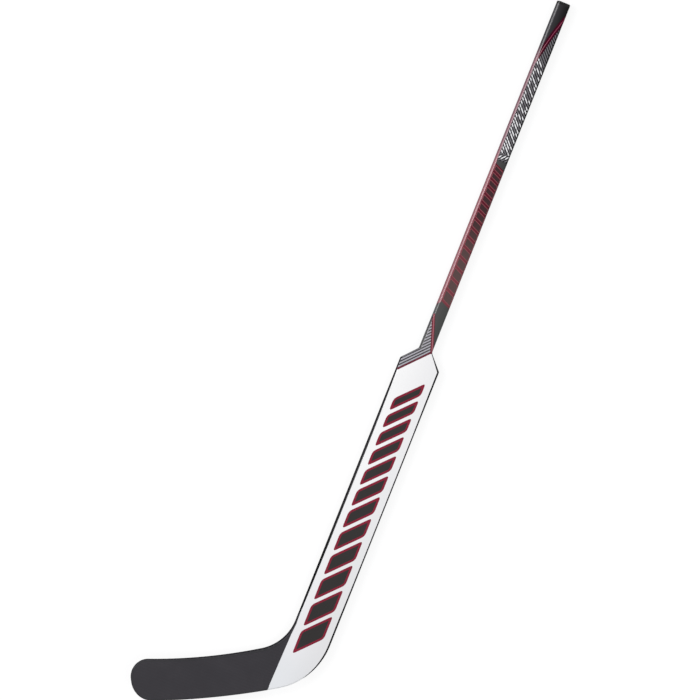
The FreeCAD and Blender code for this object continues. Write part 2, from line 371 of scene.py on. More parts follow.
@dataclass(frozen=True)
class Finish:
    """A surface finish: a colour with mottle, relief, wear and an optional clear coat."""

    name: str
    colour: Colour
    shade: Colour                    # colour that the broad mottle brings in
    roughness: float
    roughness_swing: float = 0.10
    coat: float = 0.0
    coat_corner: float = 0.0         # more coat on the rounded corners of the toe side
    coat_roughness: float = 0.12
    specular: float = 0.5
    mottle: float = 0.5              # share of the shade at its strongest
    grain: float = 900.0             # fine grain per metre
    stretch: float = 1.0             # how far the grain is drawn out along the stick
    grain_depth: float = 0.000012
    weave_pitch: float = 0.0         # width of a tow, 0 for none
    weave_depth: float = 0.00002
    weave_tint: float = 0.0          # how much the tows differ in colour
    wear: float = 0.0
    wear_colour: Colour = paint(150, 150, 152)
    wear_rough: float = 0.25         # how much rougher worn spots and scuffs are
    scuffs: float = 0.0
    painted_side_shade: float = 0.0           # how far narrow faces go to black: painted shade on faces that turn sideways
    side_rough: float = 0.0          # how much rougher they are
    fade: Spot = (0.0, 0.0)          # heights between which the shade takes over, if they differ

    def material(self) -> bpy.types.Material:
        """The finish's material, built once.

        Returns:
            The node material.
        """
        known = bpy.data.materials.get(self.name)
        if known:
            return known
        made = bpy.data.materials.new(self.name)
        bench = Bench.cleared(made)
        mottle = bench.use(Effect.MOTTLE, {"Scale": self.grain, "Stretch": self.stretch})
        fine = mottle.outputs["Fine"]
        swing = self.roughness_swing / 2
        rough = bench.ramp(fine, 0.0, 1.0, self.roughness - swing, self.roughness + swing)
        colour, rough = self.age(bench, self.tint(bench, mottle.outputs["Broad"]), rough)
        shader = bench.put("ShaderNodeBsdfPrincipled", {
            "Base Color": colour,
            "Roughness": rough,
            "Specular IOR Level": self.specular,
            "Coat Weight": self.lacquer(bench),
            "Coat Roughness": self.coat_roughness,
            "Normal": self.relief(bench, fine),
        })
        bench.put("ShaderNodeOutputMaterial", {"Surface": shader.outputs[0]})
        return made

    def weave(self, bench: Bench) -> bpy.types.Node:
        """The finish's twill."""
        return bench.use(Effect.TWILL, {"Pitch": self.weave_pitch})

    def tint(self, bench: Bench, broad: Socket) -> Socket:
        """Colour before wear.

        Args:
            bench: Bench of the material.
            broad: Broad mottle.

        Returns:
            The colour's socket.
        """
        share = bench.math("MULTIPLY", broad, self.mottle)
        if self.fade[0] != self.fade[1]:
            share = bench.math("MAXIMUM", share, bench.ramp(bench.axes()[0], *self.fade))
        colour = bench.blend(share, self.colour, self.shade)
        if self.weave_pitch and self.weave_tint:
            share = bench.math("MULTIPLY", self.weave(bench).outputs["Tow"], self.weave_tint)
            colour = bench.blend(share, colour, self.shade)
        return colour

    def age(self, bench: Bench, colour: Socket, rough: Socket) -> tuple[Socket, Socket]:
        """Paint shade onto the narrow faces, darkening them, and bring in rubbed edges and scuffs.

        Args:
            bench: Bench of the material.
            colour: Colour so far.
            rough: Roughness so far.

        Returns:
            The worn colour and roughness.
        """
        # Painted shade: narrow faces go towards black because of how light falls on them.
        if self.painted_side_shade:
            narrow = bench.use(Effect.NARROW).outputs[0]
            colour = bench.blend(bench.math("MULTIPLY", narrow, self.painted_side_shade), colour, PAINTED_SHADE_BLACK)
            rough = bench.math("ADD", rough, bench.math("MULTIPLY", narrow, self.side_rough))
        for effect, strength in ((Effect.EDGE_WEAR, self.wear), (Effect.SCUFFS, self.scuffs)):
            if strength:
                mark = bench.math("MULTIPLY", bench.use(effect).outputs[0], strength)
                colour = bench.blend(mark, colour, self.wear_colour)
                rough = bench.math("ADD", rough, bench.math("MULTIPLY", mark, self.wear_rough))
        return colour, rough

    def lacquer(self, bench: Bench) -> Feed:
        """How much clear coat lies on the surface: none on dull narrow faces, most on polished corners.

        Args:
            bench: Bench of the material.

        Returns:
            The coat's weight.
        """
        if not self.painted_side_shade and not self.coat_corner:
            return self.coat
        wide = bench.math("SUBTRACT", 1.0, bench.use(Effect.NARROW).outputs[0])
        corner = bench.use(Effect.TOE_CORNER).outputs[0]
        return bench.math("MULTIPLY_ADD", corner, self.coat_corner, bench.math("MULTIPLY", wide, self.coat))

    def relief(self, bench: Bench, fine: Socket) -> Socket:
        """Small relief of grain and weave.

        Args:
            bench: Bench of the material.
            fine: Fine grain.

        Returns:
            The bumped normal's socket.
        """
        bump = bench.put("ShaderNodeBump", {"Height": fine, "Distance": self.grain_depth}).outputs[0]
        if not self.weave_pitch:
            return bump
        height = self.weave(bench).outputs["Height"]
        inputs = {"Height": height, "Distance": self.weave_depth, "Normal": bump}
        return bench.put("ShaderNodeBump", inputs).outputs[0]


@dataclass(frozen=True)
class BackBars:
    """Slanted bars that a finish shows on the back face."""

    colour: Colour
    pitch: float
    share: float
    slant: float
    low: float
    high: float
    half_width: float


@dataclass(frozen=True)
class Zone:
    """Colour of the stick from a height upwards, which changes from the toe side to the heel side; a darker
    heel side is painted shade.
    """

    start: float
    toe_side: Colour
    heel_side: Colour
    slant: float = 0.0               # run along the stick of its lower edge for each length across
    run: float = 0.0                 # length over which it takes over, 0 for a sharp edge


@dataclass(frozen=True)
class ZonedFinish(Finish):
    """Finish with colour zones along the stick and bars on the back face."""

    zones: tuple[Zone, ...] = ()
    zone_half: float = 0.012         # distance from the middle line at which the colour change, painted shade towards the heel side, ends
    zone_mottle: float = 0.3         # how far the mottle draws the toe side's colour to the heel side's
    bars: BackBars | None = None

    def tint(self, bench: Bench, broad: Socket) -> Socket:
        """Colour of the zones, with painted shade towards the heel side, and bars over the plain finish's
        colour.

        Args:
            bench: Bench of the material.
            broad: Broad mottle.

        Returns:
            The colour's socket.
        """
        colour = super().tint(bench, broad)
        x, y, _ = bench.axes()
        for zone in self.zones:
            # Painted shade: each zone's colour darkens from the toe side to the heel side, where less light
            # falls.
            across = bench.ramp(y, -self.zone_half, self.zone_half)
            even = bench.ramp(broad, 0.0, 1.0, 1.0, 1.0 - self.zone_mottle * self.mottle)
            shown = bench.blend(bench.math("MULTIPLY", across, even), zone.heel_side, zone.toe_side)
            past = bench.math("SUBTRACT", x, bench.math("MULTIPLY_ADD", y, zone.slant, zone.start))
            share = bench.ramp(past, 0.0, zone.run) if zone.run else bench.math("GREATER_THAN", past, 0.0)
            colour = bench.blend(share, colour, shown)
        if self.bars:
            inputs = {"Pitch": self.bars.pitch, "Bar share": self.bars.share, "Slant": self.bars.slant,
                      "Low": self.bars.low, "High": self.bars.high, "Half width": self.bars.half_width}
            colour = bench.blend(bench.use(Effect.BARS, inputs).outputs[0], colour, self.bars.colour)
        return colour


@dataclass(frozen=True)
class FoamFinish(Finish):
    """Closed-cell foam with small round cells."""

    cells: float = 700.0             # cells per metre
    cell_depth: float = 0.00025

    def relief(self, bench: Bench, fine: Socket) -> Socket:
        """Relief of the cells."""
        cell = bench.put("ShaderNodeTexVoronoi", {"Vector": bench.place(), "Scale": self.cells}).outputs[0]
        return bench.put("ShaderNodeBump", {"Height": cell, "Distance": self.cell_depth}).outputs[0]


@dataclass(frozen=True)
class WoodFinish(Finish):
    """Straight-grained wood, its grain along the stick."""

    rings: float = 260.0             # grain lines per metre
    squeeze: tuple[float, float, float] = (0.06, 1.0, 1.0)     # draws the lines out along the stick
    waver: float = 3.0               # how far they sway
    waver_detail: float = 3.0

    def tint(self, bench: Bench, broad: Socket) -> Socket:
        """Colour of early and late wood in wavy lines.

        Args:
            bench: Bench of the material.
            broad: Broad mottle, not used.

        Returns:
            The colour's socket.
        """
        spot = bench.put("ShaderNodeMapping", {"Vector": bench.place(), "Scale": self.squeeze}).outputs[0]
        inputs = {"Vector": spot, "Scale": self.rings, "Distortion": self.waver, "Detail": self.waver_detail}
        wave = bench.put("ShaderNodeTexWave", inputs, bands_direction="Y")
        return bench.blend(wave.outputs[1], self.colour, self.shade)


INK = {"roughness": 0.36, "specular": 0.2, "grain": 1500.0, "grain_depth": 0.000004}
BRUSHED = {"grain": 1800.0, "stretch": 8.0, "grain_depth": 0.000012}


def ink(name: str, colour: Colour, shade: Colour, **changes: float | Spot) -> Finish:
    """Finish of a smooth print, apart from what changes."""
    return Finish("print_" + name, colour, shade, **(INK | changes))


class Stock:
    """The finishes of this stick."""

    # Its zones paint light and shade on the white: lighter towards the top and the toe side, darker towards the
    # heel and the heel side.
    WHITE_PAINT = ZonedFinish(
        "white_panel_paint", paint(244, 245, 248), paint(238, 240, 243), 0.36, coat=0.1, coat_roughness=0.18,
        specular=0.26, mottle=0.6, weave_pitch=0.0026, weave_depth=0.000006, scuffs=0.04,
        wear_colour=paint(212, 213, 217), zone_half=0.040, zones=(
            Zone(-1.0, paint(235, 237, 241), paint(229, 230, 233)),
            Zone(-0.02, paint(242, 242, 245), paint(232, 232, 234), run=0.10),
            Zone(0.05, paint(253, 253, 254), paint(242, 242, 244), run=0.55)))
    BLADE = Finish(
        "blade_twill_charcoal", paint(54, 52, 57), paint(45, 43, 48), 0.5, roughness_swing=0.12, specular=0.2,
        weave_pitch=0.0022, weave_depth=0.000016, weave_tint=0.25, scuffs=0.08, wear_colour=paint(96, 95, 99))
    RIM = Finish(
        "blade_rim_resin", paint(53, 52, 56), paint(45, 44, 48), 0.55, specular=0.0, coat=0.3,
        coat_roughness=0.35, wear=0.2, wear_colour=paint(95, 94, 98), scuffs=0.1, grain=1200.0,
        painted_side_shade=0.15, side_rough=0.25)
    STRIP = Finish(
        "edge_strip_black", paint(25, 25, 27), paint(19, 19, 21), 0.62, specular=0.0, coat=0.15,
        coat_roughness=0.3, wear=0.12, wear_colour=paint(80, 79, 83), stretch=6.0, painted_side_shade=0.6,
        side_rough=0.25)
    PLUG = Finish(
        "butt_plug_plastic", paint(30, 29, 31), paint(24, 23, 25), 0.55, specular=0.0, coat=0.3,
        coat_corner=0.5, grain=2200.0, grain_depth=0.00003, wear=0.15, painted_side_shade=0.5, side_rough=0.2)
    HEEL = Finish(
        "heel_insert_white", paint(238, 239, 243), paint(229, 231, 235), 0.4, coat=0.1, scuffs=0.06,
        wear_colour=paint(196, 197, 200))
    WEB = Finish(
        "web_glass_laminate", paint(186, 182, 160), paint(166, 162, 140), 0.5, weave_pitch=0.0018,
        weave_tint=0.4)
    FOAM = FoamFinish("core_foam", paint(226, 214, 176), paint(210, 196, 156), 0.85)
    WOOD = WoodFinish("joiner_ash", paint(206, 170, 122), paint(176, 136, 90), 0.6, stretch=12.0)
    RED = ink("red", paint(164, 96, 104), paint(152, 86, 94), roughness=0.34, coat=0.1)
    DULL_RED = ink("dull_red", paint(152, 80, 88), paint(140, 70, 78))
    DARK_RED = ink("dark_red", paint(104, 28, 48), paint(94, 24, 42), coat=0.1)
    DEEP_RED = ink("deep_red", paint(66, 14, 33), paint(58, 12, 29), specular=0.0)
    LINE_RED = ink("line_red", paint(134, 24, 50), paint(122, 20, 44))
    SIDE_GREY = ink(
        "side_grey", paint(104, 104, 107), paint(94, 94, 97), roughness=0.6, specular=0.0, coat=0.1,
        coat_roughness=0.3, stretch=8.0, grain_depth=0.000012)
    CHARCOAL = ink("charcoal", paint(47, 44, 44), paint(40, 38, 38), roughness=0.4, specular=0.18)
    GROUND = ink("neck_ground", paint(60, 58, 62), paint(53, 51, 55), roughness=0.4, specular=0.18)
    GREY = ink("silver_grey", paint(178, 176, 184), paint(166, 164, 172), **BRUSHED)
    DARK_GREY = ink("dark_grey", paint(116, 114, 119), paint(104, 102, 107), **BRUSHED)
    BRIGHT_WHITE = ink("white", paint(242, 242, 245), paint(233, 233, 237))


def moved(spot: Spot, way: Spot, distance: float) -> Spot:
    """Spot at a distance from another one, in a direction of length 1."""
    return (spot[0] + way[0] * distance, spot[1] + way[1] * distance)


def clip(outline: Outline, point: Spot, keep: Spot) -> Outline:
    """Cut an outline along a line and keep one side.

    Args:
        outline: Outline to cut.
        point: A point of the line.
        keep: Direction across the line, to the side that stays.

    Returns:
        What stays of the outline, empty where nothing does.
    """
    def side(spot: Spot) -> float:
        """Signed distance of a spot from the line, in lengths of keep."""
        return (spot[0] - point[0]) * keep[0] + (spot[1] - point[1]) * keep[1]

    kept = []
    for start, end in zip(outline, outline[1:] + outline[:1]):
        first, second = side(start), side(end)
        if first >= 0:
            kept.append(start)
        if first * second < 0:
            share = first / (first - second)
            kept.append((start[0] + share * (end[0] - start[0]), start[1] + share * (end[1] - start[1])))
    return kept


def stripes(
        region: Outline, start: Spot, along: Spot, pitch: float, width: float, count: int) -> list[Outline]:
    """Parallel stripes over a region.

    Args:
        region: Region that the stripes fill.
        start: Point on the middle of the first stripe.
        along: Direction of the stripes, of length 1. The next stripe lies to its left.
        pitch: Distance between stripes.
        width: Width of a stripe.
        count: How many stripes.

    Returns:
        The outlines of those that lie in the region.
    """
    left, right = (-along[1], along[0]), (along[1], -along[0])
    found = []
    for number in range(count):
        cut = clip(region, moved(start, left, number * pitch - width / 2), left)
        cut = clip(cut, moved(start, left, number * pitch + width / 2), right)
        if len(cut) > 2:
            found.append(cut)
    return found


def ribbon(path: Outline, width: float) -> list[Outline]:
    """Line of even width along a path.

    Args:
        path: Points of the line's middle.
        width: Width of the line.

    Returns:
        Outlines that join into the line.
    """
    rails = []
    for number, (x, y) in enumerate(path):
        before, after = path[max(number - 1, 0)], path[min(number + 1, len(path) - 1)]
        run, rise = after[0] - before[0], after[1] - before[1]
        reach = width / 2 / math.hypot(run, rise)
        rails.append(((x - rise * reach, y + run * reach), (x + rise * reach, y - run * reach)))
    return [[a[1], b[1], b[0], a[0]] for a, b in zip(rails, rails[1:])]


def slanted_bar(
        low: float, length: float, bottom: float, top: float, slant: float, inset: float = 0.0) -> Outline:
    """Slanted bar across the stick.

    Args:
        low: Where its lower side crosses the middle line.
        length: Its length along the stick.
        bottom: Its edge towards the heel side.
        top: Its edge towards the toe side.
        slant: Run along the stick for each length across.
        inset: How far all four sides are drawn in.

    Returns:
        The bar's four corners.
    """
    middle = (bottom + top) / 2
    pull = inset * math.hypot(1.0, slant)
    corners = []
    for end, shift in ((0.0, pull), (length, -pull)):
        for side in (bottom + inset, top - inset):
            corners.append((low + end + shift + (side - middle) * slant, side))
    return [corners[0], corners[2], corners[3], corners[1]]


def rounded(outline: Outline, radius: float, points: int = 5) -> Outline:
    """Round the corners of an outline.

    Args:
        outline: Outline with straight sides.
        radius: How far from a corner its curve starts.
        points: Points on each curve.

    Returns:
        The rounded outline.
    """
    pull = 2 / 3                     # makes each curve a parabola that aims at the corner
    spots = []
    for number, corner in enumerate(outline):
        here = Vector((*corner, 0.0))
        before, after = (Vector((*outline[(number + shift) % len(outline)], 0.0)) for shift in (-1, 1))
        start = here + (before - here).normalized() * radius
        end = here + (after - here).normalized() * radius
        curve = interpolate_bezier(start, start.lerp(here, pull), end.lerp(here, pull), end, points)
        spots += [(spot.x, spot.y) for spot in curve]
    return spots


def bar_row(low: float, high: float, count: int, shrink: float, gap: float) -> list[Spot]:
    """Row of bars, each shorter than the one before it by the same share.

    Args:
        low: Start of the row.
        high: End of the row.
        count: How many bars.
        shrink: Length of each bar, of the one before it.
        gap: Space between bars.

    Returns:
        Start and length of each bar.
    """
    lengths = [shrink ** number for number in range(count)]
    unit = (high - low - gap * (count - 1)) / sum(lengths)
    row = []
    for length in lengths:
        row.append((low, unit * length))
        low += unit * length + gap
    return row


def show(name: str, data: bpy.types.ID) -> bpy.types.Object:
    """Put a mesh, light or camera in the scene.

    Args:
        name: Name of the object.
        data: What the object shows.

    Returns:
        The new object.
    """
    made = bpy.data.objects.new(name, data)
    bpy.context.scene.collection.objects.link(made)
    return made


class Surface:
    """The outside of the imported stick, on which prints are laid."""

    def __init__(self, names: list[str]) -> None:
        """Gather the outer pieces.

        Args:
            names: CAD nodes that prints lie on.
        """
        points: list[Vector] = []
        faces: list[list[int]] = []
        for name in names:
            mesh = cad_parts[name].data
            base = len(points)
            points += [vertex.co.copy() for vertex in mesh.vertices]
            faces += [[base + index for index in polygon.vertices] for polygon in mesh.polygons]
        self.tree = BVHTree.FromPolygons(points, faces)
        self.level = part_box("paddle_front_skin")[1].z
        self.half_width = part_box("shaft_tube")[1].y
        self.corner = 0.005          # radius of the shaft's long corners

    def meet(self, start: Vector, direction: Vector) -> Laid:
        """Find where a ray first meets the stick, or the nearest spot to where it passes.

        Args:
            start: Start of the ray.
            direction: Its direction, of length 1.

        Returns:
            The spot and the way it faces.
        """
        spot, normal, _, _ = self.tree.ray_cast(start, direction)
        if spot is None:
            spot, normal, _, _ = self.tree.find_nearest(start + direction * self.half_width)
        return spot, normal

    def from_front(self, x: float, y: float) -> Laid:
        """Spot on the front face, seen straight on."""
        return self.meet(Vector((x, y, self.level + self.half_width)), Vector((0.0, 0.0, -1.0)))

    def round_shaft(self, x: float, girth: float) -> Laid:
        """Spot on the shaft at a distance round it.

        Args:
            x: Height on the stick.
            girth: Distance round the shaft from the middle of the front face, positive towards the toe side.

        Returns:
            The spot and the way it faces.
        """
        side = math.copysign(1.0, girth)
        flat = self.half_width - self.corner
        past = abs(girth) - flat
        turn = min(max(past / self.corner, 0.0), math.pi / 2)
        down = max(past - self.corner * math.pi / 2, 0.0)
        facing = Vector((0.0, side * math.sin(turn), math.cos(turn)))
        middle = Vector((x, side * min(abs(girth), flat), self.level - self.corner - down))
        spot, _ = self.meet(middle + facing * (self.corner + self.half_width), -facing)
        return spot, facing


class Lay(Enum):
    """Ways to lay a print on the stick, by the name of the surface's method."""

    FRONT = "from_front"
    ROUND_SHAFT = "round_shaft"


@dataclass
class Print:
    """A thin printed film on the stick, made of flat outlines and laid on the surface."""

    name: str
    outlines: list[Outline]
    finish: Finish
    layer: int = 1
    lay: Lay = Lay.FRONT
    step: float = 0.0                # spacing of the cuts that let the film bend across the stick, 0 for none
    slot: str = ""
    bends: list[Cut] = field(default_factory=list)     # more cuts

    def build(self, surface: Surface) -> None:
        """Make the film's closed mesh and lay it on the stick.

        Args:
            surface: Surface to lay it on.
        """
        sheet = bmesh.new()
        for outline in self.outlines:
            sheet.faces.new([sheet.verts.new((x, y, 0.0)) for x, y in outline])
        bmesh.ops.remove_doubles(sheet, verts=sheet.verts[:], dist=MERGE)
        bmesh.ops.triangulate(sheet, faces=sheet.faces[:])
        self.cut(sheet)
        bmesh.ops.triangulate(sheet, faces=sheet.faces[:])
        for face in sheet.faces:
            face.normal_update()
            if face.normal.z < 0:
                face.normal_flip()
        self.thicken(sheet, getattr(surface, self.lay.value))
        mesh = bpy.data.meshes.new(self.name)
        sheet.to_mesh(mesh)
        sheet.free()
        mesh.materials.append(self.finish.material())
        piece = show(self.name, mesh)
        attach(piece, BODY)
        LOG.info("print %s: %d faces", self.name, len(mesh.polygons))

    def cut(self, sheet: bmesh.types.BMesh) -> None:
        """Cut the flat sheet into strips, so that it can bend with the surface.

        Args:
            sheet: The flat sheet.
        """
        lines = list(self.bends)
        if self.step:
            across = [vertex.co.y for vertex in sheet.verts]
            low, high = min(across), max(across)
            count = math.ceil((high - low) / self.step)
            lines += [((0.0, low + number * self.step), TO_TOE) for number in range(1, count)]
        for point, normal in lines:
            geometry = sheet.verts[:] + sheet.edges[:] + sheet.faces[:]
            bmesh.ops.bisect_plane(
                sheet, geom=geometry, plane_co=(*point, 0.0), plane_no=(*normal, 0.0), dist=MERGE)

    def thicken(self, sheet: bmesh.types.BMesh, spot_at: Callable[[float, float], Laid]) -> None:
        """Lay the sheet's points on the stick and close it with an underside and a rim.

        Args:
            sheet: The flat sheet.
            spot_at: Gives the spot and facing for a point of the flat sheet.
        """
        faces = sheet.faces[:]
        rim = [edge for edge in sheet.edges if edge.is_boundary]
        under = {}
        for vertex in sheet.verts[:]:
            spot, facing = spot_at(vertex.co.x, vertex.co.y)
            vertex.co = spot + facing * (FILM * self.layer)
            under[vertex] = sheet.verts.new(spot - facing * SINK)
        for face in faces:
            sheet.faces.new([under[vertex] for vertex in reversed(face.verts)])
        for edge in rim:
            loop = edge.link_loops[0]
            start, end = loop.vert, loop.link_loop_next.vert
            sheet.faces.new([end, start, under[start], under[end]])
            edge.smooth = False
            sheet.edges.get((under[start], under[end])).smooth = False
        for face in sheet.faces:
            face.smooth = True


def dress(finish: Finish, *names: str) -> None:
    """Give CAD nodes a finish.

    Args:
        finish: The finish.
        names: Names of the nodes.
    """
    for name in names:
        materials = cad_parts[name].data.materials
        materials.clear()
        materials.append(finish.material())
        LOG.info("node %s: %s", name, finish.name)


@dataclass(frozen=True)
class DashRow:
    """A row of dashes along the hatch: its edges and which stripes carry a dash."""

    low: float
    high: float
    rhythm: str                      # one letter for each stripe, x for a dash, over and over
    turned: int                      # which of the turned stripes at the hatch's foot carries its first dash


@dataclass
class Shaft:
    """Shaft and butt plug, with the printed zones of the shaft. Heights are above the neck."""

    surface: Surface
    bend_step: float = 0.0012        # width of the strips in which prints bend round the shaft
    red_foot: float = 0.104          # red zone
    red_top: float = 0.412
    deep_rise: float = 0.06          # from its foot to where its red starts to deepen
    deep_run: float = 0.16           # height over which it does
    bar_toe_side: float = 0.0082     # edges of the bars on it
    bar_heel_side: float = -0.0122
    bar_slant: float = 0.45          # run along the stick for each length across
    bar_count: int = 15
    bar_margin: float = 0.004        # from the ends of the zone to the row of bars
    bar_shrink: float = 0.95         # length of each bar, of the one below it
    bar_gap: float = 0.0050
    bar_border: float = 0.0011
    bar_round: float = 0.0018        # rounding of the borders' corners
    fill_round: float = 0.0012       # rounding of the fills' corners
    round_points: int = 4
    hatch_foot: float = 0.423        # hatched zone
    hatch_bend: float = 0.440        # below it the stripes lean the other way
    hatch_margin: float = 0.001      # from the zone's foot to the hatch's corners
    turned_back: float = 0.0015      # how far the first of the turned stripes lies before such a corner
    hatch_toe_side: float = 0.0091   # edges of the hatch
    hatch_heel_side: float = -0.0108
    stripe_turn: float = math.radians(42.6)
    stripe_pitch: float = 0.00496
    stripe_width: float = 0.0024
    stripe_count: int = 60
    back_share: float = 0.45         # share of the pitch that stripes on the back face take
    dash_top: float = 0.628
    dash_rows: tuple[DashRow, ...] = (
        DashRow(0.0046, 0.0091, "xxxxxx.", 3),
        DashRow(-0.0045, 0.0033, "xx.xxx.xx.xx.x.x..x..x..x..x.", 2),
        DashRow(-0.0108, -0.0058, "x.xx.x.", 1))
    corner_foot: float = 0.099       # strip over the toe-side corner and narrow face
    corner_lean: float = 0.006       # how much lower its foot lies on that face
    corner_end: float = 0.0300       # its edge on that face, as a distance round the shaft
    corner_edge: tuple[Spot, ...] = (
        (0.105, 0.0093), (0.412, 0.0093), (0.430, 0.0103), (0.640, 0.0103), (0.680, 0.0088))
    corner_dull_run: float = 0.05    # height over which its red dulls above the red zone
    corner_fade: float = 0.648       # where that starts to turn into a grey lighter than the butt end, a painted highlight along the corner
    corner_fade_run: float = 0.040
    side_foot: float = 0.0002        # grey paint on the narrow face below the strip
    side_edge: float = 0.0149        # its edge towards the front, as a distance round the shaft
    side_drop: float = 0.0005        # how far it ends below the strip's foot there
    pin_knots: tuple[Spot, ...] = (  # pinstripe: two curves that share the middle knot
        (0.753, -0.0172), (0.744, -0.0112), (0.736, -0.0097), (0.707, -0.0012),
        (0.681, 0.0049), (0.672, 0.0088), (0.640, 0.0102))
    pin_points: int = 12             # points on each curve
    pin_width: float = 0.0096
    pin_core: float = 0.0012         # width of its lighter middle
    pin_fade: Spot = (0.652, 0.700)  # heights between which that darkens
    pin_tip: Spot = (0.640, 0.0103)  # where its dark edges run out
    pin_tip_across: Spot = (0.257, 0.966)     # direction across the slanted cut that ends them there

    @property
    def neck(self) -> float:
        """Height of the neck."""
        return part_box("shaft_tube")[0].x

    def build(self) -> None:
        """Dress the shaft and lay its prints."""
        bars = BackBars(
            Stock.DARK_GREY.colour, self.stripe_pitch / math.sin(self.stripe_turn), self.back_share,
            1 / math.tan(self.stripe_turn), self.neck + self.hatch_foot, self.neck + self.dash_top,
            self.hatch_toe_side)
        red = self.neck + self.red_foot
        # The heel-side colour of each zone is painted shade, deepest at the butt end; the narrow faces get
        # painted shade too.
        zones = (
            Zone(self.neck, paint(82, 81, 81), paint(71, 72, 71)),
            Zone(red, paint(124, 62, 70), paint(114, 56, 64), self.bar_slant),
            Zone(red + self.deep_rise, paint(96, 26, 42), paint(86, 22, 36), run=self.deep_run),
            Zone(self.neck + self.red_top, paint(78, 77, 78), paint(64, 64, 64), self.bar_slant),
            Zone(self.neck + self.hatch_foot, paint(57, 55, 59), paint(20, 19, 20)))
        tube = ZonedFinish(
            "shaft_laminate_zones", paint(68, 66, 70), paint(60, 58, 62), 0.4, coat=0.17, coat_corner=0.9,
            coat_roughness=0.10, specular=0.0, stretch=10.0, weave_pitch=0.0018, weave_depth=0.00001,
            wear=0.06, painted_side_shade=0.5, side_rough=0.35, zones=zones, bars=bars)
        dress(tube, "shaft_tube")
        dress(Stock.PLUG, "butt_plug")
        self.print_red_zone()
        self.print_hatch()
        self.print_corner()
        self.print_pinstripe()

    def print_red_zone(self) -> None:
        """Row of slanted bars with thin borders on the red zone."""
        low, high = self.neck + self.red_foot, self.neck + self.red_top
        deep = low + self.deep_rise
        fill = ink("warm_black", paint(90, 69, 68), paint(56, 30, 34), mottle=0.2,
                   fade=(deep, deep + self.deep_run))
        borders, fills = [], []
        ends = (low + self.bar_margin, high - self.bar_margin)
        for start, length in bar_row(*ends, self.bar_count, self.bar_shrink, self.bar_gap):
            bar = (start, length, self.bar_heel_side, self.bar_toe_side, self.bar_slant)
            borders.append(rounded(slanted_bar(*bar), self.bar_round, self.round_points))
            fills.append(rounded(slanted_bar(*bar, self.bar_border), self.fill_round, self.round_points))
        self.round_print("shaft_bar_borders", borders, Stock.DULL_RED, 1)
        self.round_print("shaft_bars", fills, fill, 2)

    def pin_path(self) -> Outline:
        """Path of the pinstripe, from the heel-side corner over the face to the toe-side corner.

        Returns:
            Points of its middle.
        """
        knots = [Vector((height, girth, 0.0)) for height, girth in self.pin_knots]
        first = interpolate_bezier(*knots[:4], self.pin_points)
        second = interpolate_bezier(*knots[3:], self.pin_points)
        return [(self.neck + spot.x, spot.y) for spot in first + second[1:]]

    def print_hatch(self) -> None:
        """Grey diagonal stripes up to the pinstripe, turned at their foot, with rows of white dashes."""
        lean, rise = math.cos(self.stripe_turn), math.sin(self.stripe_turn)
        foot, bend = self.neck + self.hatch_foot + self.hatch_margin, self.neck + self.hatch_bend
        low, high = self.hatch_heel_side, self.hatch_toe_side
        size = (self.stripe_pitch, self.stripe_width, self.stripe_count)
        upper = [spot for spot in self.pin_path() if low < spot[1] < high]
        found = stripes([(bend, low), *upper, (bend, high)], (foot, high), (-lean, -rise), *size)
        corner = (foot - self.turned_back * rise, low - self.turned_back * lean)
        turned = stripes([(foot, low), (bend, low), (bend, high), (foot, high)], corner, (lean, -rise), *size)
        self.round_print("shaft_hatch", found + turned, Stock.DARK_GREY, 1)
        below = [outline for outline in found if outline[0][0] < self.neck + self.dash_top]
        dashes = []
        for row in self.dash_rows:
            marked = [outline for number, outline in enumerate(below)
                      if row.rhythm[number % len(row.rhythm)] == "x"]
            for outline in [turned[row.turned], *marked]:
                dash = clip(clip(outline, (0.0, row.low), TO_TOE), (0.0, row.high), TO_HEEL)
                if len(dash) > 2:
                    dashes.append(dash)
        self.round_print("shaft_dashes", dashes, Stock.BRIGHT_WHITE, 2)

    def print_corner(self) -> None:
        """Red strip over the toe-side corner and narrow face, paled by painted sheen and ending in a painted
        highlight of grey, and grey paint on that face below it.
        """
        low, high = self.neck + self.corner_foot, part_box("shaft_tube")[1].x - MERGE
        # Painted sheen and highlight: the pale pinks stand partly for red print and partly for light on the
        # glossy corner, and the grey, lighter than the butt end, is a painted highlight.
        dull, grey = paint(146, 107, 118), paint(80, 78, 82)
        zones = (
            Zone(self.neck + self.red_top, dull, dull, run=self.corner_dull_run),
            Zone(self.neck + self.corner_fade, grey, grey, run=self.corner_fade_run))
        red = ZonedFinish(
            "print_corner_red_and_sheen", paint(171, 115, 123), paint(159, 103, 111), 0.4, specular=0.0, coat=0.2,
            coat_corner=0.78, coat_roughness=0.16, grain=1500.0, grain_depth=0.000004, painted_side_shade=0.1,
            zones=zones)
        foot = (low - self.corner_lean, self.corner_end)
        front = [(self.neck + height, girth) for height, girth in self.corner_edge]
        strip = [foot, *front, (high, front[-1][1]), (high, self.corner_end)]
        self.round_print("shaft_corner_red_and_highlight", [strip], red, 1)
        bottom, top = self.neck + self.side_foot, low - self.side_drop
        side = [(bottom, self.corner_end), (bottom, self.side_edge), (top, self.side_edge), foot]
        self.round_print("shaft_side_grey", [side], Stock.SIDE_GREY, 1)

